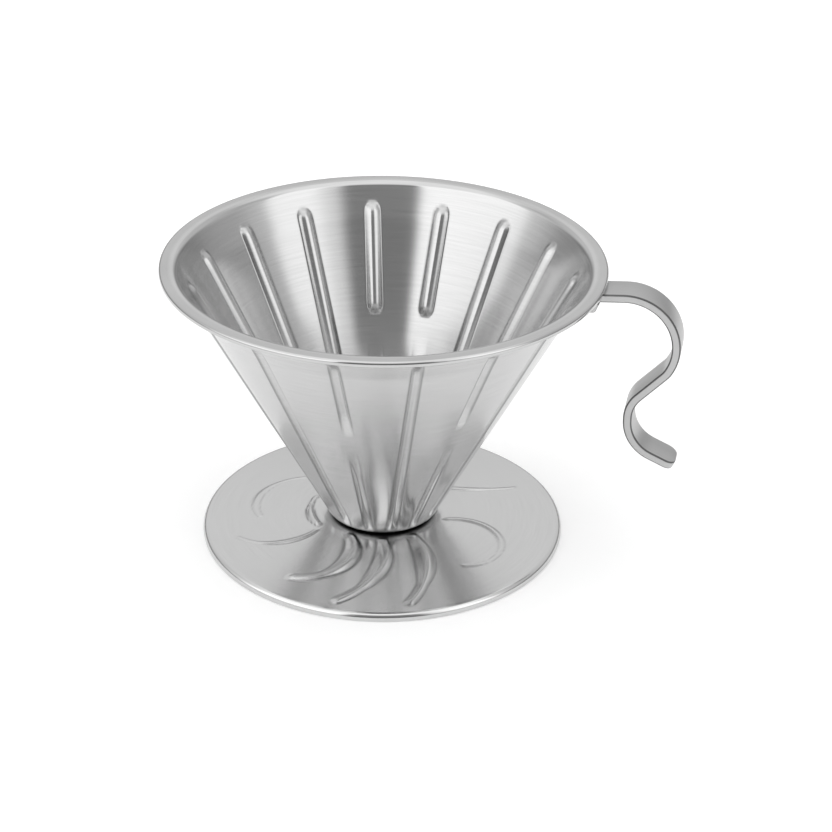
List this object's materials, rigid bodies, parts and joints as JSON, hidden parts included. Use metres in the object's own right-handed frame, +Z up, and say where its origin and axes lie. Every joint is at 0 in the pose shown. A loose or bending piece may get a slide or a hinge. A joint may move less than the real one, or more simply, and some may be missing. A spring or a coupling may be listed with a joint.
{
  "type": "pour over dripper",
  "caption": "Pour over coffee dripper: a ribbed steel filter cone on a round saucer stand, with a question-mark strap handle under its rim.",
  "frame": {"origin": "on the cone's axis, in the plane that the stand rests on", "axes": "+Z up along the cone's axis, handle on the +X side turned 12 degrees towards -Y"},
  "size_m": [0.1355, 0.116, 0.0791],
  "materials": {
    "brushed_cone": "brushed round the cone, satin",
    "brushed_stand": "fine circular brushing, satin",
    "brushed_handle": "brushed along the strap, tumbled edges"
  },
  "bodies": {
    "root": {"filter_cone": "brushed_cone", "saucer_stand": "brushed_stand", "handle_strap": "brushed_handle", "handle_block": "brushed_handle"}
  },
  "joints": []
}
